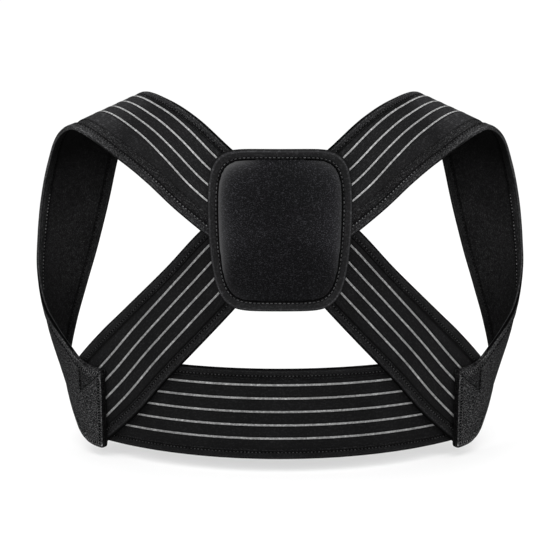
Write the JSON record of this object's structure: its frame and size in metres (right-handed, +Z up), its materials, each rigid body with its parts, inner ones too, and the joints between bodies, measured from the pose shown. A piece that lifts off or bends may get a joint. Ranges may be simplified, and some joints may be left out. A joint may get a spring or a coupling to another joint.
{
  "type": "posture corrector",
  "caption": "Soft back brace: padded plate between the shoulder blades, striped elastic shoulder loops, crossing back straps and a waist belt.",
  "frame": {"origin": "on the wearer's back, in the middle of the padded plate's height, where the brace sits", "axes": "+Z up, +Y forward out of the wearer's chest, +X to the wearer's right; the padded plate looks along -Y"},
  "size_m": [0.4632, 0.1802, 0.3342],
  "materials": {
    "cushion": "fine-grained blue-black cushion cloth",
    "binding": "black woven binding",
    "band": "dark heathered cloth with stitched hems",
    "webbing": "black ribbed elastic webbing with grey stripes"
  },
  "bodies": {
    "root": {"pad_cushion": "cushion", "pad_binding": "binding", "left_shoulder_band": "band", "right_shoulder_band": "band", "left_shoulder_webbing": "webbing", "right_shoulder_webbing": "webbing", "left_back_band": "band", "right_back_band": "band", "left_back_webbing": "webbing", "right_back_webbing": "webbing", "waist_band": "band", "waist_webbing": "webbing"}
  },
  "joints": []
}
